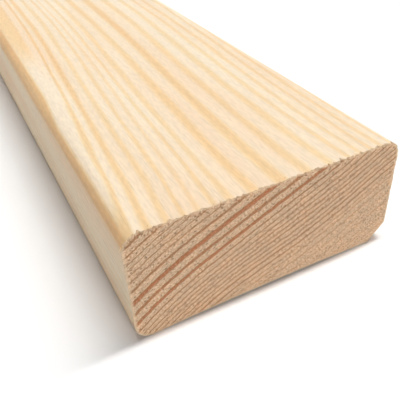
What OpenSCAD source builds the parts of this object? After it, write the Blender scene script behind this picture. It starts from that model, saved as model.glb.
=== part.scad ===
// Planed softwood plank: standard studwork timber with eased long edges and square-sawn ends.
// It lies on its broad face. X runs along the grain, Y across the width and Z up through the
// thickness, with the origin at the middle of the underside.

/* [Section] */
// Width of the two broad faces, measured over the eased edges
width = 89; // [38:1:240]
// Thickness of the stock, from the underside to the top face
thickness = 38; // [22:1:75]
// Radius that the planer leaves on the four long edges
arris_radius = 5; // [1:0.5:9]

/* [Stock] */
// Length between the two sawn ends
length = 2400; // [600:100:4800]

/* [Hidden] */

// Arc smoothness of the eased edges
$fn = 64;

// Colour of freshly planed spruce or pine
softwood = "#EBD3AC";

// Flat left on each face between its two eased edges
broad_flat = width - 2 * arris_radius;
narrow_flat = thickness - 2 * arris_radius;

// The section that leaves the planer: two crossed rectangles carry the four flat faces,
// and a full circle in each corner gives the edges their quarter rounds
module planed_section() {
    square([width, narrow_flat], center = true);
    square([broad_flat, thickness], center = true);
    for (side = [-1, 1], level = [-1, 1])
        translate([side * broad_flat / 2, level * narrow_flat / 2])
            circle(r = arris_radius);
}

// One length of stock: the section swept along the grain and crosscut square at both ends
module plank() {
    color(softwood)
        translate([-length / 2, 0, thickness / 2])
            rotate([90, 0, 90])
                linear_extrude(height = length)
                    planed_section();
}

plank();
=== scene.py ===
"""Looks of a planed softwood plank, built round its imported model.

One piece stands for the plain stock. Its eased edges, sawn ends and torn rims are geometry, and one field
of growth rings colours the long faces and both ends, so that each ring runs on round the edges.
Sizes are in millimetres, and the finished mesh is in metres.
"""

import logging
import math
from collections.abc import Mapping, Sequence
from dataclasses import dataclass, field
from enum import Enum, auto
from itertools import accumulate

import bpy
import numpy as np
from mathutils import Matrix, Vector


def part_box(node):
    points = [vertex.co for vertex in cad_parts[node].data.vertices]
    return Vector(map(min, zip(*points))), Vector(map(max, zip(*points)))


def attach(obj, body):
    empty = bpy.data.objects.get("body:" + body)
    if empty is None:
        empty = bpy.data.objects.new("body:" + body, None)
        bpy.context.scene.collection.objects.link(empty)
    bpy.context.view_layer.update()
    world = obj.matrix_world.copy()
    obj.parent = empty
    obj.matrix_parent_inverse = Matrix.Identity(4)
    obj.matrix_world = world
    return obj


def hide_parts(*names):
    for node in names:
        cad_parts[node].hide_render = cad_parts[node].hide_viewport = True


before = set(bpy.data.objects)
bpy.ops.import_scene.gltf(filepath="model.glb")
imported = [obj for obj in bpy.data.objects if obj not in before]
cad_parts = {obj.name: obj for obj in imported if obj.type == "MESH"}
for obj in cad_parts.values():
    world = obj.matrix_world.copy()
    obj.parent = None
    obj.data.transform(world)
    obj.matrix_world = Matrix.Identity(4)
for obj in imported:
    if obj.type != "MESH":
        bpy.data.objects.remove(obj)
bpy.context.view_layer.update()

LOG = logging.getLogger("plank")
MM_PER_METRE = 1000.0
METRES_PER_MM = 1 / MM_PER_METRE
# Smallest distance that counts, in millimetres
HAIR = 0.001
# A face looks the way along which its normal has more than this share
MOSTLY = 0.5
# A quarter turn, in degrees
QUARTER = 90.0
# The sRGB curve: a straight toe with its limit and slope, then an offset and a power
TOE_LIMIT, TOE_SLOPE = 0.04045, 12.92
OFFSET, POWER = 0.055, 2.4
# Places of the colour sockets on a mix node, which share their names with other sockets
MIX_FIRST, MIX_SECOND, MIX_RESULT = 6, 7, 2
WHITE = (1.0, 1.0, 1.0, 1.0)
# Attributes of the mesh: closeness to a cut edge, and the way that each face of the block looked
RIM, FACING = "rim", "facing"

Socket = bpy.types.NodeSocket
Tree = bpy.types.NodeTree
Pair = tuple[float, float]
Size = tuple[float, float, float]


class Sum(Enum):
    """Sums that a math node does, by its own names for them."""

    ABSOLUTE = auto()
    ADD = auto()
    DIVIDE = auto()
    FLOOR = auto()
    FRACT = auto()
    MAXIMUM = auto()
    MULTIPLY = auto()
    MULTIPLY_ADD = auto()
    POWER = auto()
    SIGN = auto()
    SINE = auto()
    SUBTRACT = auto()
    WRAP = auto()


class Kind(Enum):
    """Other kinds of node that the trees are made of."""

    VECTOR = "ShaderNodeVectorMath"
    SEPARATE = "ShaderNodeSeparateXYZ"
    COMBINE = "ShaderNodeCombineXYZ"
    ROTATE = "ShaderNodeVectorRotate"
    RANGE = "ShaderNodeMapRange"
    CURVE = "ShaderNodeFloatCurve"
    RAMP = "ShaderNodeValToRGB"
    NOISE = "ShaderNodeTexNoise"
    CELLS = "ShaderNodeTexVoronoi"
    MIX = "ShaderNodeMix"
    PLACE = "ShaderNodeTexCoord"
    ATTRIBUTE = "ShaderNodeAttribute"
    BUMP = "ShaderNodeBump"
    PRINCIPLED = "ShaderNodeBsdfPrincipled"
    LIGHT_PATH = "ShaderNodeLightPath"
    BACKGROUND = "ShaderNodeBackground"
    SURFACE = "ShaderNodeOutputMaterial"
    SKY = "ShaderNodeOutputWorld"
    SIZES = "NodeGroupInput"
    RESULT = "NodeGroupOutput"
    BLOCK = "GeometryNodeMeshCube"
    CONE = "GeometryNodeMeshCone"
    POSITION = "GeometryNodeInputPosition"
    NORMAL = "GeometryNodeInputNormal"
    EDGE_ANGLE = "GeometryNodeInputMeshEdgeAngle"
    STORE = "GeometryNodeStoreNamedAttribute"
    STORED = "GeometryNodeInputNamedAttribute"
    FORGET = "GeometryNodeRemoveAttribute"
    MOVE = "GeometryNodeSetPosition"
    COMPARE = "FunctionNodeCompare"
    RANDOM = "FunctionNodeRandomValue"
    ALIGN = "FunctionNodeAlignRotationToVector"
    SCATTER = "GeometryNodeDistributePointsOnFaces"
    INSTANCE = "GeometryNodeInstanceOnPoints"
    JOIN = "GeometryNodeJoinGeometry"
    REALIZE = "GeometryNodeRealizeInstances"
    SHADE = "GeometryNodeSetShadeSmooth"
    SCALE = "GeometryNodeTransform"
    MATERIAL = "GeometryNodeSetMaterial"


def add(
    tree: Tree,
    kind: Sum | Kind,
    *values: object,
    named: Mapping[int | str, object] | None = None,
    out: int | str = 0,
    points: Sequence[Pair] = (),
    stops: Sequence[tuple[float, Sequence[float]]] = (),
    **settings: object,
) -> Socket | None:
    """Add a node with its settings and links.

    Args:
        tree: Tree that gets the node.
        kind: Kind of the node, or the sum that it does.
        values: Numbers or sockets for the inputs in their order, with None for one that stays as it is.
        named: Numbers or sockets for the inputs by their names or places.
        out: Place or name of the output that is wanted.
        points: Points of the node's curve, with straight lines between them.
        stops: Places and colours on the node's colour ramp.
        settings: Properties of the node itself.

    Returns:
        The wanted output, or None where the node has no output.
    """
    if isinstance(kind, Sum):
        node = tree.nodes.new("ShaderNodeMath")
        node.operation = kind.name
    else:
        node = tree.nodes.new(kind.value)
    for name, setting in settings.items():
        setattr(node, name, setting)
    if points:
        curve = node.mapping.curves[0]
        # A new curve has two points
        for _ in points[2:]:
            curve.points.new(0.5, 0.5)
        for knot, place in zip(curve.points, points):
            knot.location = place
            knot.handle_type = "VECTOR"
        node.mapping.update()
    for index, (place, colour) in enumerate(stops):
        ramp = node.color_ramp.elements
        stop = ramp[index] if index < len(ramp) else ramp.new(place)
        stop.position = place
        stop.color = colour
    for key, value in (*enumerate(values), *(named or {}).items()):
        if isinstance(value, Socket):
            tree.links.new(value, node.inputs[key])
        elif value is not None:
            node.inputs[key].default_value = value
    return node.outputs[out] if node.outputs else None


def linear(colour: str) -> tuple[float, float, float, float]:
    """Turn an sRGB hex colour into linear light.

    Args:
        colour: Colour in the form #RRGGBB.

    Returns:
        Red, green, blue and full alpha, from 0 to 1.
    """
    shares = [int(colour[start : start + 2], 16) / 255 for start in (1, 3, 5)]
    red, green, blue = (
        s / TOE_SLOPE if s <= TOE_LIMIT else ((s + OFFSET) / (1 + OFFSET)) ** POWER for s in shares
    )
    return red, green, blue, 1.0


def bare(name: str) -> tuple[bpy.types.Material, Tree]:
    """Make a material with an empty tree.

    Args:
        name: Name of the material.

    Returns:
        The material and its tree.
    """
    material = bpy.data.materials.new(name)
    material.use_nodes = True
    material.node_tree.nodes.clear()
    return material, material.node_tree


class Cut(Enum):
    """Ways to cut through a ring, with the channel that holds a year's tone on that cut."""

    SAWN = "X"
    PLANED = "Y"


@dataclass(frozen=True)
class Year:
    """One year's width, and from 0 to 1 how dark it ends on a sawn end and how golden on a planed face."""

    width: float
    dark: float
    gold: float = 0.5


@dataclass(frozen=True)
class Step:
    """A place where the grain lies further right: by how much, and where it gets there along and across."""

    right: float
    run: Pair
    across: Pair


@dataclass(frozen=True)
class Pattern:
    """Streaks or specks in the wood: length, width and depth of one, and how strong they are."""

    size: Size
    strength: float = 1.0
    # Values of the pattern between which it comes out
    span: Pair = (0.0, 1.0)
    detail: float = 2.0
    roughness: float = 0.5

    def draw(self, tree: Tree, point: Socket) -> Socket:
        """Draw the pattern.

        Args:
            tree: Tree that gets the nodes.
            point: Point in the wood, in millimetres.

        Returns:
            Value of the pattern there, from 0 to 1.
        """
        stretched = add(tree, Kind.VECTOR, point, self.size, operation="DIVIDE")
        noise = {"Scale": 1.0, "Detail": self.detail, "Roughness": self.roughness}
        return add(tree, Kind.NOISE, stretched, named=noise)


@dataclass(frozen=True)
class GrowthRings:
    """The log's rings where the saw went through them, the same field for faces, ends and relief."""

    # Place along the plank of the end that the rings were read from
    seen_end: float
    # Slope of the rings across the plank's section, in degrees
    slope: float = 24.0
    # The rings bend upwards to the left of this place, by this much for each square millimetre
    bend_from: float = -10.0
    bend: float = 0.0046
    # Away from that end the bands draw together, and they lean by this much, and all comes back in a wave
    fan: float = 0.0016
    lean: float = 0.006
    fan_length: float = 150.0
    # The whole grain sways to the right and back, less on the left and more on the right
    sway: float = 4.0
    sway_length: float = 60.0
    sway_reach: float = 60.0
    # All of that dies away between these two places, because the grain keeps to the left edge
    free_from: Pair = (-43.5, -35.5)
    # Soon after that end it lies further right on the left half, and at that end further left on the right
    steps: tuple[Step, ...] = (
        Step(1.5, (-5.0, 20.0), (-12.0, -17.0)),
        Step(-3.0, (60.0, 0.0), (25.0, 40.0)),
    )
    # Waves of the rings: the slow and the fine one have this share of their strength at that end, and all
    # of it from this distance on
    slow_wave: Pattern = Pattern((320.0, 36.0, 36.0), 2.2, detail=1.0)
    fine_wave: Pattern = Pattern((70.0, 7.0, 7.0), 1.1, detail=1.0)
    ripple: Pattern = Pattern((24.0, 2.6, 2.6), 0.5, detail=1.0)
    wave_near: float = 0.28
    wave_reach: float = 350.0
    # The rings drop by this much between these places round the log, and between these radii
    drop: float = 1.9
    drop_round: Pair = (-8.0, 14.0)
    drop_out: Pair = (22.8, 12.0)
    # Radius of the first year's inner side, on a scale that starts near the lower right corner
    first_radius: float = -14.1
    # How much more of a year is latewood where it is dark
    latewood_gain: float = 0.26
    # Years from the pith outwards, read from the sawn end
    years: tuple[Year, ...] = (
        Year(4.0, 0.16), Year(2.4, 0.18), Year(1.5, 0.20), Year(4.0, 0.18), Year(2.9, 0.20),
        Year(3.5, 0.22), Year(2.3, 0.26), Year(1.6, 0.30), Year(2.0, 0.48), Year(2.3, 0.44),
        Year(1.5, 0.43), Year(1.5, 0.42), Year(1.7, 0.42), Year(1.3, 0.46), Year(1.5, 0.42),
        Year(1.5, 0.46), Year(1.7, 0.38), Year(2.1, 0.44), Year(3.0, 0.86, 0.52), Year(3.3, 0.60, 0.52),
        Year(3.7, 1.00, 0.66), Year(3.3, 0.44, 0.58), Year(2.6, 0.32), Year(1.8, 0.34),
        Year(1.8, 0.29, 0.38), Year(1.6, 0.35), Year(2.3, 0.40), Year(2.6, 0.43, 0.64),
        Year(1.5, 0.36, 0.62), Year(3.4, 0.43), Year(2.7, 0.42),
    )

    def place(self, tree: Tree, point: Socket) -> Socket:
        """Find where a point of the plank lay in the log.

        Args:
            tree: Tree that gets the nodes.
            point: Point of the plank, in millimetres.

        Returns:
            Distance along the log, round it and out from its pith, as a vector.
        """
        along, across, up = add(tree, Kind.SEPARATE, point).node.outputs
        run = add(tree, Sum.SUBTRACT, self.seen_end, along)
        turn = add(tree, Sum.MULTIPLY, run, 1 / self.fan_length)
        turn = add(tree, Sum.SINE, turn)
        spread = (across, self.fan * self.fan_length, self.lean * self.fan_length)
        spread = add(tree, Sum.MULTIPLY_ADD, *spread)
        drift = add(tree, Sum.MULTIPLY, turn, spread)
        wave = add(tree, Sum.MULTIPLY, run, 1 / (2 * self.sway_length))
        wave = add(tree, Sum.SINE, wave)
        wave = add(tree, Sum.MULTIPLY, wave, wave)
        swing = add(tree, Sum.MULTIPLY_ADD, across, -2 * self.sway / self.sway_reach, -2 * self.sway)
        drift = add(tree, Sum.MULTIPLY_ADD, wave, swing, drift)
        free = add(tree, Kind.RANGE, across, *self.free_from, 0.0, 1.0)
        shifted = add(tree, Sum.MULTIPLY_ADD, drift, free, across)
        for step in self.steps:
            there = add(tree, Kind.RANGE, run, *step.run, 0.0, -step.right)
            beside = add(tree, Kind.RANGE, across, *step.across, 0.0, 1.0)
            shifted = add(tree, Sum.MULTIPLY_ADD, there, beside, shifted)
        sloped = {"Vector": add(tree, Kind.COMBINE, along, shifted, up), "Angle": -math.radians(self.slope)}
        turned = add(tree, Kind.ROTATE, named=sloped, rotation_type="X_AXIS")
        _, around, outward = add(tree, Kind.SEPARATE, turned).node.outputs
        left = add(tree, Sum.SUBTRACT, self.bend_from, around)
        left = add(tree, Sum.MAXIMUM, left, 0.0)
        lift = add(tree, Sum.MULTIPLY, left, left)
        radius = add(tree, Sum.MULTIPLY_ADD, lift, self.bend, outward)
        inner = add(tree, Kind.RANGE, radius, *self.drop_out, 0.0, self.drop)
        right = add(tree, Kind.RANGE, around, *self.drop_round, 0.0, 1.0)
        radius = add(tree, Sum.MULTIPLY_ADD, inner, right, radius)
        growth = add(tree, Kind.RANGE, run, 0.0, self.wave_reach, self.wave_near, 1.0)
        for waves, share in ((self.slow_wave, growth), (self.fine_wave, growth), (self.ripple, 1.0)):
            offset = (waves.draw(tree, point), waves.strength, -waves.strength / 2)
            offset = add(tree, Sum.MULTIPLY_ADD, *offset)
            radius = add(tree, Sum.MULTIPLY_ADD, offset, share, radius)
        return add(tree, Kind.COMBINE, along, around, radius)

    def season(self, tree: Tree, place: Socket) -> tuple[Socket, Socket]:
        """Find when a place in the log grew.

        Args:
            tree: Tree that gets the nodes.
            place: Place in the log, as place() gives it.

        Returns:
            Share of its year that had passed, and that year's tones with a channel for each cut.
        """
        edges = [0.0, *accumulate(year.width for year in self.years)]
        depth, count = edges[-1], len(self.years)
        radius = add(tree, Kind.SEPARATE, place, out="Z")
        span = (self.first_radius + depth, self.first_radius)
        wrapped = add(tree, Sum.WRAP, radius, *span)
        share = add(tree, Kind.RANGE, wrapped, span[1], span[0], 0.0, 1.0)
        calendar = [(edge / depth, index / count) for index, edge in enumerate(edges)]
        age = add(tree, Kind.CURVE, 1.0, share, points=calendar)
        age = add(tree, Sum.MULTIPLY, age, count)
        phase = add(tree, Sum.FRACT, age)
        middle = add(tree, Sum.FLOOR, age)
        middle = add(tree, Sum.ADD, middle, 0.5)
        middle = add(tree, Sum.DIVIDE, middle, count)
        shades = [(year.dark, year.gold, 0.0, 1.0) for year in self.years]
        shades = [(index / count, shade) for index, shade in enumerate(shades)]
        tones = add(tree, Kind.RAMP, middle, stops=shades)
        tones.node.color_ramp.interpolation = "CONSTANT"
        return phase, tones

    def latewood(
        self, tree: Tree, season: tuple[Socket, Socket], cut: Cut, share: float, edge: float
    ) -> Socket:
        """Find how much latewood a cut shows.

        Args:
            tree: Tree that gets the nodes.
            season: Time of growth, as season() gives it.
            cut: Way that the ring is cut.
            share: Share of a pale year that is latewood.
            edge: Share of a year over which its latewood ends.

        Returns:
            Latewood from 0 to 1, which rises slowly through a year and ends at its outer side.
        """
        phase, tones = season
        tone = add(tree, Kind.SEPARATE, tones, out=cut.value)
        start = add(tree, Sum.MULTIPLY_ADD, tone, -self.latewood_gain, 1 - share)
        full = add(tree, Sum.MULTIPLY_ADD, start, 0.5, (1 - edge) / 2)
        onset = add(tree, Sum.ADD, start, -share / 2)
        rise = add(tree, Kind.RANGE, phase, onset, full, 0.0, 1.0, interpolation_type="SMOOTHSTEP")
        fall = add(tree, Kind.RANGE, phase, 1 - edge, 1.0, 1.0, 0.0, interpolation_type="SMOOTHSTEP")
        shape = add(tree, Sum.MULTIPLY, rise, fall)
        return add(tree, Sum.MULTIPLY, shape, tone)


@dataclass(frozen=True)
class PlanedSoftwood:
    """Spruce or pine planed along the grain: pale and smooth, with soft honey bands and a silky fibre."""

    # The planer's knives cut the fibres clean, so the earlywood is a warm cream and each year ends in a
    # honey-coloured band; where a ring runs level with the surface its band turns to a broad ochre strip
    name: str = "planed_softwood_long_grain"
    cream: str = "#FAE7CC"
    honey: str = "#F6DAAB"
    ochre: str = "#ECBC81"
    blush: str = "#FBE6D2"
    # Share of a year that makes its band, and the share over which the band ends
    band_share: float = 0.36
    band_edge: float = 0.3
    # How golden a band is where it is honey-coloured, on its way from cream to ochre
    honey_place: float = 0.5
    # The bands fade into a plain warm tone on the narrow faces, between these distances from the middle
    fade_span: Pair = (44.0, 44.5)
    fade: float = 0.6
    side_tone: float = 0.1
    # The left edges lie along a ring, so the planer burnishes them, from the first to the second of these
    # places across the plank and up from its middle
    burnish: float = 0.85
    burnish_across: Pair = (-40.2, -41.4)
    burnish_up: Pair = (14.3, 15.8)
    # The burnish is narrower by this much near the seen end, and widens between these distances from it
    thin: float = 1.7
    thin_run: Pair = (60.0, 92.0)
    # Fibres, their nap, resin canals, streaks and slow changes of tone. Real fibres are about 0.03 mm wide,
    # and they are drawn coarser here because they would not show
    fibre: Pattern = Pattern((40.0, 0.45, 0.45), 0.1, (0.3, 0.7))
    nap: Pattern = Pattern((3.0, 0.7, 0.7), 0.28)
    canal: Pattern = Pattern((14.0, 0.4, 0.4), 0.12, (0.6, 0.75))
    streak: Pattern = Pattern((160.0, 2.6, 2.6), 0.08)
    tone: Pattern = Pattern((130.0, 14.0, 14.0), 0.6, (0.35, 0.7))
    # Roughness at the two ends of the fibres' span
    smooth: float = 0.5
    rough: float = 0.62
    # Height of the fibres, and the share of it by which a band stands up
    fibre_relief: float = 0.05
    band_relief: float = 0.5
    ior: float = 1.53

    def material(self, rings: GrowthRings, middle: float) -> bpy.types.Material:
        """Make the material.

        Args:
            rings: Growth rings that the surface cuts through.
            middle: Height of the plank's middle.

        Returns:
            The finished material.
        """
        material, tree = bare(self.name)
        point = add(tree, Kind.PLACE, out="Object")
        point = add(tree, Kind.VECTOR, point, operation="SCALE", named={"Scale": MM_PER_METRE})
        season = rings.season(tree, rings.place(tree, point))
        band = rings.latewood(tree, season, Cut.PLANED, self.band_share, self.band_edge)
        along, across, level = add(tree, Kind.SEPARATE, point).node.outputs
        aside = add(tree, Sum.ABSOLUTE, across)
        level = add(tree, Sum.SUBTRACT, level, middle)
        level = add(tree, Sum.ABSOLUTE, level)
        run = add(tree, Sum.SUBTRACT, rings.seen_end, along)
        thin = add(tree, Kind.RANGE, run, *self.thin_run, self.thin, 0.0, interpolation_type="SMOOTHSTEP")
        wide = add(tree, Sum.ADD, across, thin)
        polished = add(tree, Kind.RANGE, wide, *self.burnish_across, 0.0, self.burnish)
        edge = add(tree, Kind.RANGE, level, *self.burnish_up, 0.0, 1.0)
        polished = add(tree, Sum.MULTIPLY, polished, edge)
        shown = add(tree, Kind.RANGE, aside, *self.fade_span, 1.0, 1 - self.fade)
        plain = add(tree, Kind.RANGE, aside, *self.fade_span, 0.0, self.side_tone)
        band = add(tree, Sum.MULTIPLY_ADD, band, shown, plain)
        band = add(tree, Sum.MAXIMUM, band, polished)
        tones = [linear(tone) for tone in (self.cream, self.honey, self.ochre)]
        bands = list(zip((0.0, self.honey_place, 1.0), tones))
        colour = add(tree, Kind.RAMP, band, stops=bands)
        warmth = self.tone.draw(tree, point)
        warmth = add(tree, Kind.RANGE, warmth, *self.tone.span, 0.0, self.tone.strength)
        blushed = {"Factor": warmth, MIX_FIRST: colour, MIX_SECOND: linear(self.blush)}
        colour = add(tree, Kind.MIX, named=blushed, out=MIX_RESULT, data_type="RGBA", blend_type="MULTIPLY")
        grain = {pattern: pattern.draw(tree, point) for pattern in (self.fibre, self.nap, self.streak)}
        shade = 1.0
        for pattern, noise in grain.items():
            shade = add(tree, Sum.MULTIPLY_ADD, noise, pattern.strength, shade)
            shade = add(tree, Sum.SUBTRACT, shade, pattern.strength / 2)
        dash = self.canal.draw(tree, point)
        dash = add(tree, Kind.RANGE, dash, *self.canal.span, 0.0, self.canal.strength)
        shade = add(tree, Sum.SUBTRACT, shade, dash)
        colour = add(tree, Kind.VECTOR, colour, operation="SCALE", named={"Scale": shade})
        rough = add(tree, Kind.RANGE, grain[self.fibre], *self.fibre.span, self.smooth, self.rough)
        height = add(tree, Sum.MULTIPLY_ADD, band, self.band_relief, grain[self.fibre])
        bump = add(tree, Kind.BUMP, named={"Height": height, "Distance": self.fibre_relief * METRES_PER_MM})
        wood = {"Base Color": colour, "Roughness": rough, "IOR": self.ior, "Normal": bump}
        add(tree, Kind.SURFACE, add(tree, Kind.PRINCIPLED, named=wood))
        return material


@dataclass(frozen=True)
class SawnEndGrain:
    """Spruce or pine sawn across the grain: darker, matt and speckled, with red-brown latewood rings."""

    # The saw opens the fibres, which drink the light: the cut is a dull pinkish tan, its latewood a dense
    # red-brown line, and between the rings pale torn fibres and small dark resin canals make it speckled
    name: str = "sawn_softwood_end_grain"
    tan: str = "#E2BC98"
    brown: str = "#AA774C"
    russet: str = "#B76E3F"
    rose: str = "#FBEFE4"
    pale: str = "#F3DDBC"
    dark: str = "#86542F"
    pale_rim: str = "#EAD0AE"
    # Share of a year that makes its line, the share over which the line ends, and how dark it is where it
    # is brown, on its way from tan to russet
    line_share: float = 0.21
    line_edge: float = 0.2
    brown_place: float = 0.36
    # A year's first growth is a little darker than what follows it
    spring: float = 0.93
    summer: float = 1.04
    # Bundles of torn fibre, longer round the ring than across it, and the spread of the resin canals:
    # real ones are about 0.1 mm wide, and they are drawn coarser here because they would not show
    speckle: Pattern = Pattern((3.0, 0.62, 0.3), roughness=0.6)
    streak: Pattern = Pattern((3.0, 2.8, 0.36), span=(0.35, 0.65), detail=1.0)
    mottle: Pattern = Pattern((9.0, 6.0, 3.5), span=(0.3, 0.7), detail=1.0)
    canals: Size = (60.0, 1.3, 1.0)
    canal_width: float = 0.3
    canal_strength: float = 0.75
    # Parts of the speckle that are pale flecks and dark pits, and how far these show
    fleck_span: Pair = (0.5, 0.62)
    fleck_strength: float = 0.9
    pit_span: Pair = (0.48, 0.36)
    pit_strength: float = 0.45
    # Latewood between these tones hides them, down to this share
    dense_span: Pair = (0.04, 0.3)
    dense_share: float = 0.3
    # Part of the mottle over which the cut turns rosy, and how far it does
    rose_span: Pair = (0.4, 0.65)
    rose_strength: float = 0.45
    # Shades of the dullest and the brightest mottle and streak
    mottle_shade: Pair = (0.95, 1.06)
    streak_shade: Pair = (0.9, 1.09)
    # How far the cut turns paler along its rim, and how close to the rim
    pale_rim_strength: float = 0.7
    pale_rim_span: Pair = (0.6, 0.95)
    # Roughness of the cut, and how much smoother its latewood is
    roughness: float = 0.78
    polish: float = 0.12
    # Height of the torn fibres, and the share of it by which a line stands up
    relief: float = 0.12
    line_relief: float = 0.7
    ior: float = 1.5

    def material(self, rings: GrowthRings) -> bpy.types.Material:
        """Make the material.

        Args:
            rings: Growth rings that the saw cut through.

        Returns:
            The finished material.
        """
        material, tree = bare(self.name)
        point = add(tree, Kind.PLACE, out="Object")
        point = add(tree, Kind.VECTOR, point, operation="SCALE", named={"Scale": MM_PER_METRE})
        place = rings.place(tree, point)
        season = rings.season(tree, place)
        line = rings.latewood(tree, season, Cut.SAWN, self.line_share, self.line_edge)
        speckle = self.speckle.draw(tree, place)
        streak = self.streak.draw(tree, place)
        mottle = self.mottle.draw(tree, place)
        canals = add(tree, Kind.VECTOR, place, self.canals, operation="DIVIDE")
        canals = add(tree, Kind.CELLS, canals, named={"Scale": 1.0})
        edges = self.canal_width / 2, self.canal_width
        pore = add(tree, Kind.RANGE, canals, *edges, self.canal_strength, 0.0)
        tones = [linear(tone) for tone in (self.tan, self.brown, self.russet)]
        bands = list(zip((0.0, self.brown_place, 1.0), tones))
        colour = add(tree, Kind.RAMP, line, stops=bands)
        flush = add(tree, Kind.RANGE, mottle, *self.rose_span, 0.0, self.rose_strength)
        open_wood = add(tree, Kind.RANGE, line, *self.dense_span, 1.0, self.dense_share)
        fleck = add(tree, Kind.RANGE, speckle, *self.fleck_span, 0.0, self.fleck_strength)
        fleck = add(tree, Sum.MULTIPLY, fleck, open_wood)
        pit = add(tree, Kind.RANGE, speckle, *self.pit_span, 0.0, self.pit_strength)
        pit = add(tree, Sum.MAXIMUM, pit, pore)
        pit = add(tree, Sum.MULTIPLY, pit, open_wood)
        # The cut turns paler close to its rim
        rim = add(tree, Kind.ATTRIBUTE, out="Fac", attribute_name=RIM)
        rim = add(tree, Kind.RANGE, rim, *self.pale_rim_span, 0.0, self.pale_rim_strength)
        for share, tint, blend in (
            (flush, self.rose, "MULTIPLY"),
            (fleck, self.pale, "MIX"),
            (pit, self.dark, "MIX"),
            (rim, self.pale_rim, "MIX"),
        ):
            mixed = {"Factor": share, MIX_FIRST: colour, MIX_SECOND: linear(tint)}
            colour = add(tree, Kind.MIX, named=mixed, out=MIX_RESULT, data_type="RGBA", blend_type=blend)
        shade = add(tree, Kind.RANGE, mottle, *self.mottle.span, *self.mottle_shade)
        growth = add(tree, Kind.RANGE, season[0], 0.0, 1 - self.line_share, self.spring, self.summer)
        shade = add(tree, Sum.MULTIPLY, shade, growth)
        dull = add(tree, Kind.RANGE, streak, *self.streak.span, *self.streak_shade)
        shade = add(tree, Sum.MULTIPLY, shade, dull)
        colour = add(tree, Kind.VECTOR, colour, operation="SCALE", named={"Scale": shade})
        height = add(tree, Sum.MULTIPLY_ADD, line, self.line_relief, speckle)
        height = add(tree, Sum.SUBTRACT, height, pore)
        bump = add(tree, Kind.BUMP, named={"Height": height, "Distance": self.relief * METRES_PER_MM})
        rough = add(tree, Kind.RANGE, line, 0.0, 1.0, self.roughness, self.roughness - self.polish)
        wood = {"Base Color": colour, "Roughness": rough, "IOR": self.ior, "Normal": bump}
        add(tree, Kind.SURFACE, add(tree, Kind.PRINCIPLED, named=wood))
        return material


@dataclass(frozen=True)
class TornFibres:
    """Wisps of fibre that the saw pulls loose along the upper rims of both ends."""

    # Shortest and longest wisp, and how thick one is
    length: Pair = (0.4, 1.2)
    thickness: float = 0.13
    # Wisps for each square millimetre at the top, how close to the rim they stand, and the lowest place for
    # one, as a share of the thickness
    density: float = 0.6
    closeness: float = 0.55
    lowest: float = 0.5
    # A wisp's sides, and the radius of its root and tip as shares of its thickness
    sides: int = 5
    root: float = 0.5
    tip: float = 0.15
    # How far a wisp leans out along the plank, and how far it strays
    lean: float = 0.6
    stray: float = 0.7

    def scatter(self, tree: Tree, stock: Socket, sizes: Mapping[str, Socket]) -> Socket:
        """Scatter wisps along the rims.

        Args:
            tree: The plank's geometry tree.
            stock: Geometry of the bare plank, with its rim attribute.
            sizes: The tree's named inputs.

        Returns:
            Geometry of the wisps as instances.
        """
        rim = add(tree, Kind.STORED, RIM, data_type="FLOAT")
        near = add(tree, Kind.COMPARE, rim, self.closeness, operation="GREATER_THAN")
        along, _, up = add(tree, Kind.SEPARATE, add(tree, Kind.POSITION)).node.outputs
        upper = add(tree, Sum.DIVIDE, up, sizes["Thickness"])
        upper = add(tree, Kind.RANGE, upper, self.lowest, 1.0, 0.0, 1.0)
        density = add(tree, Sum.MULTIPLY, upper, sizes["Wisps"])
        points = add(tree, Kind.SCATTER, stock, near, named={"Density": density, "Seed": sizes["Seed"]})
        normal = points.node.outputs["Normal"]
        outward = add(tree, Sum.SIGN, along)
        outward = add(tree, Sum.MULTIPLY, outward, self.lean)
        lean = add(tree, Kind.VECTOR, normal, add(tree, Kind.COMBINE, outward), operation="ADD")
        spread = (-self.stray,) * 3, (self.stray,) * 3
        stray = add(tree, Kind.RANDOM, *spread, named={"Seed": sizes["Seed"]}, data_type="FLOAT_VECTOR")
        heading = add(tree, Kind.VECTOR, lean, stray, operation="ADD")
        turn = add(tree, Kind.ALIGN, None, 1.0, heading, axis="Z")
        length = add(tree, Kind.RANDOM, None, None, *self.length, named={"Seed": sizes["Seed"]}, out=1)
        scale = add(tree, Kind.COMBINE, self.thickness, self.thickness, length)
        points = add(tree, Kind.FORGET, points, named={"Name": FACING})
        wisp = add(tree, Kind.CONE, self.sides, 1, 1, self.tip, self.root, 1.0, fill_type="NGON")
        return add(tree, Kind.INSTANCE, points, named={"Instance": wisp, "Rotation": turn, "Scale": scale})


@dataclass(frozen=True)
class Sheet:
    """One side laid flat: the way it faces, the axes over and up it, and its corner and size on the map."""

    facing: tuple[int, int, int]
    over: int
    up: int
    corner: Pair
    size: Pair


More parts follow.
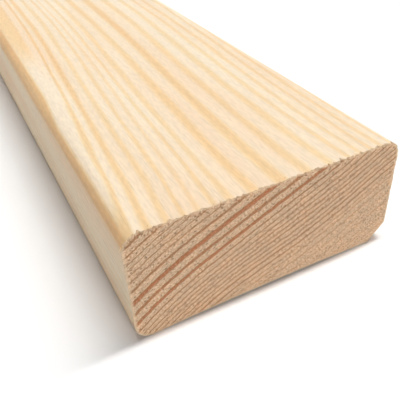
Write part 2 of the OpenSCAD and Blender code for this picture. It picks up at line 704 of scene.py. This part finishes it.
@dataclass
class Plank:
    """A length of planed stock: eased long edges, two sawn ends and their torn rims."""

    length: float
    width: float
    thickness: float
    # Radius that the planer leaves on the four long edges
    arris: float = 5.0
    # Width of a mesh cell on the ends
    cell: float = 0.4
    # Rows of the mesh from the middle to an end, and how much longer each is than the one after it
    rows: int = 30
    growth: float = 1.25
    # Depth to which drying has hollowed the underside
    hollow: float = 0.8
    # Deepest chip out of a rim, how far a chip reaches, how wide it is and where in their pattern chips are
    chip: float = 1.0
    chip_reach: float = 2.0
    chip_width: float = 1.3
    chip_span: Pair = (0.42, 0.75)
    # Power of the height with which chips and nicks gain depth, so that the upper rim has the most
    upper_power: float = 3.0
    # Nicks in the upper rim: how deep the deepest is, how far apart and how wide they are
    nick: float = 0.9
    nick_gap: float = 2.6
    nick_width: float = 1.0
    # Depth of the corner knocked off the seen end, low on the right, and how far from the side it starts
    # and gets so deep at floor level
    knock: float = 2.4
    knock_aside: Pair = (6.2, 2.8)
    # Depth of the saw's roughness on the ends, the width of a tuft of it, and the detail of chips and tufts
    roughness: float = 0.12
    tuft: float = 0.8
    detail: float = 2.0
    # Edges that turn by more than this, in degrees, stay crisp
    crisp: float = 50.0
    seed: int = 7
    fibres: TornFibres = field(default_factory=TornFibres)
    # The map of the surface: long faces side by side, both ends below them, and a patch for the wisps
    sheets: tuple[Sheet, ...] = (
        Sheet((0, 0, 1), 1, 0, (0.002, 0.262), (0.345, 0.736)),
        Sheet((0, 0, -1), 1, 0, (0.351, 0.262), (0.345, 0.736)),
        Sheet((0, -1, 0), 2, 0, (0.700, 0.262), (0.147, 0.736)),
        Sheet((0, 1, 0), 2, 0, (0.851, 0.262), (0.147, 0.736)),
        Sheet((1, 0, 0), 1, 2, (0.002, 0.004), (0.490, 0.210)),
        Sheet((-1, 0, 0), 1, 2, (0.500, 0.004), (0.490, 0.210)),
    )
    patch: Pair = (0.5, 0.238)
    patch_radius: float = 0.012

    @property
    def rings(self) -> GrowthRings:
        """Growth rings as read from the plank's near end."""
        return GrowthRings(seen_end=self.length / 2)

    def sizes(self) -> dict[str, float | int]:
        """List the named inputs of the plank's tree with their values."""
        return {
            "Length": self.length,
            "Width": self.width,
            "Thickness": self.thickness,
            "Arris Radius": self.arris,
            "Hollow": self.hollow,
            "Chip Depth": self.chip,
            "Nick Depth": self.nick,
            "Knock Depth": self.knock,
            "Saw Roughness": self.roughness,
            "Wisps": self.fibres.density,
            "Seed": self.seed,
        }

    def build(self) -> bpy.types.Object:
        """Make the plank as one plain mesh.

        Returns:
            The plank's object, at the origin, with its place in its mesh.
        """
        tree = bpy.data.node_groups.new("planed_stock", "GeometryNodeTree")
        tree.interface.new_socket("Geometry", in_out="OUTPUT", socket_type="NodeSocketGeometry")
        values = {}
        for name, value in self.sizes().items():
            kind = "NodeSocketInt" if isinstance(value, int) else "NodeSocketFloat"
            socket = tree.interface.new_socket(name, in_out="INPUT", socket_type=kind)
            values[socket.identifier] = value
        sizes = add(tree, Kind.SIZES).node.outputs
        stock = self.shape(tree, sizes)
        wisps = self.fibres.scatter(tree, stock, sizes)
        joined = add(tree, Kind.JOIN, stock)
        tree.links.new(wisps, joined.node.inputs[0])
        whole = add(tree, Kind.REALIZE, joined)
        whole = add(tree, Kind.SHADE, whole, None, True, domain="FACE")
        angle = add(tree, Kind.EDGE_ANGLE)
        soft = add(tree, Kind.COMPARE, angle, math.radians(self.crisp), operation="LESS_THAN")
        whole = add(tree, Kind.SHADE, whole, None, soft, domain="EDGE")
        whole = add(tree, Kind.SCALE, whole, named={"Scale": (METRES_PER_MM,) * 3})
        add(tree, Kind.RESULT, self.dress(tree, whole))
        piece = bpy.data.objects.new("planed_plank", bpy.data.meshes.new("planed_plank"))
        bpy.context.scene.collection.objects.link(piece)
        modifier = piece.modifiers.new("planed_stock", "NODES")
        modifier.node_group = tree
        for identifier, value in values.items():
            modifier[identifier] = value
        evaluated = piece.evaluated_get(bpy.context.evaluated_depsgraph_get())
        mesh = bpy.data.meshes.new_from_object(evaluated)
        piece.modifiers.remove(modifier)
        piece.data = mesh
        self.unwrap(mesh)
        return piece

    def shape(self, tree: Tree, sizes: Mapping[str, Socket]) -> Socket:
        """Shape the stock from a fine block.

        Args:
            tree: The plank's geometry tree.
            sizes: The tree's named inputs.

        Returns:
            Geometry of the plank in millimetres, with a rim attribute that is 1 along the cut edges.
        """
        # The block runs from -1 to 1 along the plank
        span = add(tree, Kind.COMBINE, 2.0, sizes["Width"], sizes["Thickness"])
        wide, high = (round(side / self.cell) + 1 for side in (self.width, self.thickness))
        block = add(tree, Kind.BLOCK, span, 2 * self.rows + 1, wide, high)
        facing = add(tree, Kind.NORMAL)
        block = add(tree, Kind.STORE, block, None, FACING, facing, data_type="FLOAT_VECTOR", domain="FACE")
        station = add(tree, Kind.SEPARATE, add(tree, Kind.POSITION), out="X")
        end = add(tree, Sum.SIGN, station)
        half = add(tree, Sum.MULTIPLY, sizes["Length"], 0.5)
        from_end = self.from_end(tree, station, half)
        section, inset = self.section(tree, sizes)
        rim = add(tree, Sum.ADD, inset, from_end)
        rim = add(tree, Kind.RANGE, rim, 0.0, self.chip_reach, 1.0, 0.0, interpolation_type="SMOOTHSTEP")
        _, across, up = add(tree, Kind.SEPARATE, section).node.outputs
        cut = add(tree, Kind.COMBINE, add(tree, Sum.MULTIPLY, half, end), across, up)
        inward = self.sawing(tree, cut, rim, from_end, sizes)
        reach = add(tree, Sum.SUBTRACT, half, from_end)
        reach = add(tree, Sum.SUBTRACT, reach, inward)
        along = add(tree, Sum.MULTIPLY, reach, end)
        block = add(tree, Kind.STORE, block, None, RIM, rim, data_type="FLOAT", domain="POINT")
        return add(tree, Kind.MOVE, block, None, add(tree, Kind.COMBINE, along, across, up))

    def from_end(self, tree: Tree, station: Socket, half: Socket) -> Socket:
        """Space the rows, close together at the ends and far apart in the middle.

        Args:
            tree: The plank's geometry tree.
            station: Place along the block, from -1 to 1.
            half: Half the plank's length.

        Returns:
            Distance from the nearer end.
        """
        share = add(tree, Sum.ABSOLUTE, station)
        rows = add(tree, Sum.MULTIPLY_ADD, share, -self.rows, self.rows)
        power = add(tree, Sum.POWER, self.growth, rows)
        whole = self.growth**self.rows - 1
        part = add(tree, Sum.MULTIPLY_ADD, power, 1 / whole, -1 / whole)
        return add(tree, Sum.MULTIPLY, part, half)

    def section(self, tree: Tree, sizes: Mapping[str, Socket]) -> tuple[Socket, Socket]:
        """Ease the block's long edges by turning each square corner into a quarter disc.

        Args:
            tree: The plank's geometry tree.
            sizes: The tree's named inputs.

        Returns:
            Point of the eased section, with the underside at 0, and how far inside the outline it lies.
        """
        radius = sizes["Arris Radius"]
        flat = (0.0, 1.0, 1.0)
        point = add(tree, Kind.VECTOR, add(tree, Kind.POSITION), flat, operation="MULTIPLY")
        side = add(tree, Kind.VECTOR, point, operation="SIGN")
        point = add(tree, Kind.VECTOR, point, operation="ABSOLUTE")
        corner = add(tree, Kind.COMBINE, 0.0, sizes["Width"], sizes["Thickness"])
        corner = add(tree, Kind.VECTOR, corner, operation="SCALE", named={"Scale": 0.5})
        inset = add(tree, Kind.COMBINE, 0.0, radius, radius)
        inner = add(tree, Kind.VECTOR, corner, inset, operation="SUBTRACT")
        beyond = add(tree, Kind.VECTOR, point, inner, operation="SUBTRACT")
        _, wide, high = add(tree, Kind.SEPARATE, beyond).node.outputs
        furthest = add(tree, Sum.MAXIMUM, wide, high)
        square = add(tree, Kind.VECTOR, beyond, (0.0, 0.0, 0.0), operation="MAXIMUM")
        distance = add(tree, Kind.VECTOR, square, operation="LENGTH", out="Value")
        distance = add(tree, Sum.MAXIMUM, distance, HAIR)
        reach = add(tree, Sum.MAXIMUM, furthest, 0.0)
        ease = add(tree, Sum.DIVIDE, reach, distance)
        eased = add(tree, Kind.VECTOR, square, operation="SCALE", named={"Scale": ease})
        eased = add(tree, Kind.VECTOR, add(tree, Kind.VECTOR, point, inner, operation="MINIMUM"), eased)
        eased = add(tree, Kind.VECTOR, eased, side, operation="MULTIPLY")
        _, across, up = add(tree, Kind.SEPARATE, eased).node.outputs
        share = add(tree, Sum.DIVIDE, across, add(tree, Kind.SEPARATE, inner, out="Y"))
        share = add(tree, Sum.MULTIPLY, share, share)
        bow = add(tree, Kind.RANGE, share, 0.0, 1.0, sizes["Hollow"], 0.0)
        low = add(tree, Sum.DIVIDE, up, sizes["Thickness"])
        low = add(tree, Sum.SUBTRACT, 0.5, low)
        rise = add(tree, Sum.MULTIPLY, bow, low)
        level = add(tree, Sum.MULTIPLY_ADD, sizes["Thickness"], 0.5, rise)
        eased = add(tree, Kind.VECTOR, eased, add(tree, Kind.COMBINE, 0.0, 0.0, level))
        inset = add(tree, Sum.SUBTRACT, radius, furthest)
        return eased, inset

    def sawing(
        self, tree: Tree, cut: Socket, rim: Socket, from_end: Socket, sizes: Mapping[str, Socket]
    ) -> Socket:
        """Roughen the ends as the saw does, and chip their rims, most of all the upper one.

        Args:
            tree: The plank's geometry tree.
            cut: Point on the flat cut.
            rim: Closeness to the cut edge, from 0 to 1.
            from_end: Distance from the nearer end.
            sizes: The tree's named inputs.

        Returns:
            How far the surface lies inside the flat cut.
        """
        sawn = SawnEndGrain()
        season = self.rings.season(tree, self.rings.place(tree, cut))
        latewood = self.rings.latewood(tree, season, Cut.SAWN, sawn.line_share, sawn.line_edge)
        soft = add(tree, Sum.SUBTRACT, 1.0, latewood)
        along, across, height = add(tree, Kind.SEPARATE, cut).node.outputs
        upper = add(tree, Sum.DIVIDE, height, sizes["Thickness"])
        upper = add(tree, Sum.POWER, upper, self.upper_power)
        chips = add(tree, Kind.NOISE, cut, named={"Scale": 1 / self.chip_width, "Detail": self.detail})
        chips = add(tree, Kind.RANGE, chips, *self.chip_span, 0.0, 1.0)
        for share in (soft, sizes["Chip Depth"]):
            chips = add(tree, Sum.MULTIPLY, chips, share)
        nicks = {"W": across, "Scale": 1 / self.nick_gap}
        nicks = add(tree, Kind.CELLS, named=nicks, voronoi_dimensions="1D")
        depth = add(tree, Kind.SEPARATE, nicks.node.outputs["Color"], out="X")
        depth = add(tree, Sum.MULTIPLY, depth, sizes["Nick Depth"])
        nick = add(tree, Kind.RANGE, nicks, 0.0, self.nick_width / (2 * self.nick_gap), depth, 0.0)
        chips = add(tree, Sum.ADD, chips, nick)
        for share in (rim, upper):
            chips = add(tree, Sum.MULTIPLY, chips, share)
        corner = add(tree, Sum.SUBTRACT, across, height)
        reach = [self.width / 2 - aside for aside in self.knock_aside]
        knock = add(tree, Kind.RANGE, corner, *reach, 0.0, sizes["Knock Depth"])
        seen = add(tree, Kind.COMPARE, along, 0.0, operation="GREATER_THAN")
        knock = add(tree, Sum.MULTIPLY, knock, seen)
        fades = add(tree, Kind.RANGE, from_end, 0.0, 2 * self.knock, 1.0, 0.0)
        chips = add(tree, Sum.MULTIPLY_ADD, knock, fades, chips)
        tufts = add(tree, Kind.NOISE, cut, named={"Scale": 1 / self.tuft, "Detail": self.detail})
        tufts = add(tree, Sum.ADD, tufts, soft)
        tufts = add(tree, Sum.MULTIPLY, tufts, sizes["Saw Roughness"])
        on_cut = add(tree, Kind.COMPARE, from_end, HAIR, operation="LESS_THAN")
        tufts = add(tree, Sum.MULTIPLY, tufts, on_cut)
        return add(tree, Sum.ADD, chips, tufts)

    def dress(self, tree: Tree, whole: Socket) -> Socket:
        """Give the long faces and the ends their finishes.

        Args:
            tree: The plank's geometry tree.
            whole: Geometry of the plank with its wisps.

        Returns:
            The dressed geometry.
        """
        planed = PlanedSoftwood().material(self.rings, self.thickness / 2)
        sawn = SawnEndGrain().material(self.rings)
        facing = add(tree, Kind.STORED, FACING, data_type="FLOAT_VECTOR")
        along = add(tree, Sum.ABSOLUTE, add(tree, Kind.SEPARATE, facing, out="X"))
        ends = add(tree, Kind.COMPARE, along, MOSTLY, operation="GREATER_THAN")
        whole = add(tree, Kind.MATERIAL, whole, named={"Material": planed})
        return add(tree, Kind.MATERIAL, whole, ends, sawn)

    def unwrap(self, mesh: bpy.types.Mesh) -> None:
        """Lay the surface out flat for baking, each side on its own sheet.

        Args:
            mesh: The finished mesh, with the way that each face of the block looked.
        """
        corners = np.empty(len(mesh.loops), dtype=np.int32)
        mesh.loops.foreach_get("vertex_index", corners)
        points = np.empty(len(mesh.vertices) * 3, dtype=np.float32)
        mesh.vertices.foreach_get("co", points)
        points = points.reshape(-1, 3)
        counts = np.empty(len(mesh.polygons), dtype=np.int32)
        mesh.polygons.foreach_get("loop_total", counts)
        facing = np.empty(len(mesh.polygons) * 3, dtype=np.float32)
        mesh.attributes[FACING].data.foreach_get("vector", facing)
        facing = np.repeat(facing.reshape(-1, 3), counts, axis=0)
        low, high = points.min(axis=0), points.max(axis=0)
        shares = ((points - low) / (high - low))[corners]
        starts = np.repeat(np.cumsum(counts) - counts, counts)
        turns = 2 * math.pi * (np.arange(len(corners)) - starts) / np.repeat(counts, counts)
        places = np.array(self.patch) + self.patch_radius * np.stack([np.cos(turns), np.sin(turns)], axis=1)
        for sheet in self.sheets:
            here = facing @ np.array(sheet.facing) > MOSTLY
            flat = shares[here][:, [sheet.over, sheet.up]]
            places[here] = np.array(sheet.corner) + flat * np.array(sheet.size)
        layer = mesh.uv_layers.new(name="OFBake")
        layer.uv.foreach_set("vector", places.astype(np.float32).ravel())
        mesh.attributes.remove(mesh.attributes[FACING])


@dataclass(frozen=True)
class Studio:
    """A plain white floor under a long soft lamp, with a fill lamp in front."""

    floor_size: float = 40000.0
    # The floor as it looks, and as it lights the plank from below
    floor_colour: str = "#FFFFFF"
    bounce_colour: str = "#F6F5F3"
    # Light from the room all round, from the long lamp overhead and from the fill lamp, as shares of the
    # level that shows colours as written
    room: float = 0.1
    strip: float = 0.82
    fill: float = 0.285
    # Middle and half size of the long lamp, along and across the plank on a sky of radius 1, and the share
    # of its size over which its edges fade
    strip_middle: Pair = (-0.036, 0.235)
    strip_reach: Pair = (0.031, 0.3)
    strip_blur: float = 0.6
    # Height and width of the fill lamp, in degrees
    fill_height: float = 15.0
    fill_width: float = 30.0
    # What lifts the lit floor to white for the eye alone
    lift: float = 0.02

    def build(self) -> None:
        """Make the floor, the fill lamp and the light all round."""
        self.lay_floor()
        self.hang_fill()
        self.light_room()

    def hang_fill(self) -> None:
        """Hang the fill lamp in front of the plank's near end."""
        lamp = bpy.data.lights.new("fill_lamp", "SUN")
        lamp.energy = self.fill * math.pi
        lamp.angle = math.radians(self.fill_width)
        fill = bpy.data.objects.new("fill_lamp", lamp)
        fill.rotation_euler.y = math.radians(QUARTER - self.fill_height)
        bpy.context.scene.collection.objects.link(fill)

    def light_room(self) -> None:
        """Light the room all round and from the long lamp overhead."""
        world = bpy.data.worlds.new("white_room")
        world.use_nodes = True
        bpy.context.scene.world = world
        tree = world.node_tree
        tree.nodes.clear()
        ray = add(tree, Kind.SEPARATE, add(tree, Kind.PLACE, out="Generated")).node.outputs
        # The long lamp's light, spread over its part of the sky
        light = self.strip * math.pi / (4 * math.prod(self.strip_reach))
        for side, middle, reach in zip(ray, self.strip_middle, self.strip_reach):
            off = add(tree, Sum.SUBTRACT, side, middle)
            off = add(tree, Sum.ABSOLUTE, off)
            edges = reach * (1 - self.strip_blur), reach * (1 + self.strip_blur)
            share = add(tree, Kind.RANGE, off, *edges, 1.0, 0.0)
            light = add(tree, Sum.MULTIPLY, share, light)
        light = add(tree, Sum.ADD, light, self.room)
        strength = add(tree, Kind.RANGE, self.seen(tree), 0.0, 1.0, light, 1.0)
        add(tree, Kind.SKY, add(tree, Kind.BACKGROUND, WHITE, strength))

    def seen(self, tree: Tree) -> Socket:
        """Tell rays that show the background from those that light the plank.

        Args:
            tree: Tree of the floor or of the world.

        Returns:
            1 for the first kind and 0 for the second.
        """
        rays = add(tree, Kind.LIGHT_PATH).node.outputs
        shown = add(tree, Sum.MAXIMUM, rays["Is Camera Ray"], rays["Is Glossy Ray"])
        return add(tree, Sum.MAXIMUM, shown, rays["Is Transmission Ray"])

    def lay_floor(self) -> None:
        """Lay the floor, white to the eye and with the plank's shadow on it."""
        half = self.floor_size * METRES_PER_MM / 2
        corners = [(-half, -half, 0.0), (half, -half, 0.0), (half, half, 0.0), (-half, half, 0.0)]
        mesh = bpy.data.meshes.new("floor")
        mesh.from_pydata(corners, [], [(0, 1, 2, 3)])
        floor = bpy.data.objects.new("floor", mesh)
        bpy.context.scene.collection.objects.link(floor)
        material, tree = bare("matt_white_card")
        seen = self.seen(tree)
        glow = add(tree, Sum.MULTIPLY, seen, self.lift)
        bounce, white = linear(self.bounce_colour), linear(self.floor_colour)
        tones = {"Factor": seen, MIX_FIRST: bounce, MIX_SECOND: white}
        tone = add(tree, Kind.MIX, named=tones, out=MIX_RESULT, data_type="RGBA")
        card = {"Base Color": tone, "Roughness": 1.0, "Specular IOR Level": 0.0}
        card |= {"Emission Color": WHITE, "Emission Strength": glow}
        add(tree, Kind.SURFACE, add(tree, Kind.PRINCIPLED, named=card))
        mesh.materials.append(material)


@dataclass(frozen=True)
class Viewpoint:
    """The camera's place beside the plank's near end."""

    # From the middle of the near end's lower edge: past the end, to the side and up
    past_end: float = 94.48
    aside: float = -66.92
    height: float = 119.71
    # Turn from the plank's length, downward tilt and roll, in degrees
    heading: float = 25.139
    tilt: float = 36.88
    roll: float = 3.444
    # Focal length on a frame of this width, and how close to the camera things still show
    focal_length: float = 47.156
    frame_width: float = 36.0
    nearest: float = 10.0

    def build(self, plank: Plank) -> None:
        """Put the camera in place.

        Args:
            plank: The plank that it looks at.
        """
        lens = bpy.data.cameras.new("viewpoint")
        lens.sensor_width = self.frame_width
        lens.lens = self.focal_length
        lens.clip_start = self.nearest * METRES_PER_MM
        camera = bpy.data.objects.new("viewpoint", lens)
        spot = Vector((plank.length / 2 + self.past_end, self.aside, self.height)) * METRES_PER_MM
        pose = Matrix.Translation(spot)
        for angle, axis in ((QUARTER - self.heading, "Z"), (QUARTER - self.tilt, "X"), (-self.roll, "Z")):
            pose = pose @ Matrix.Rotation(math.radians(angle), 4, axis)
        camera.matrix_world = pose
        bpy.context.scene.collection.objects.link(camera)
        bpy.context.scene.camera = camera


def main() -> None:
    """Build the plank, the studio and the camera."""
    logging.basicConfig(level=logging.INFO, format="%(message)s")
    bpy.context.scene.view_settings.view_transform = "Standard"
    low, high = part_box("plank")
    plank = Plank(*((high - low) * MM_PER_METRE))
    piece = plank.build()
    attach(piece, "root")
    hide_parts("plank")
    LOG.info("%s: %d faces", piece.name, len(piece.data.polygons))
    Studio().build()
    Viewpoint().build(plank)
    LOG.info("studio and camera: in place")


if __name__ == "__main__":
    main()
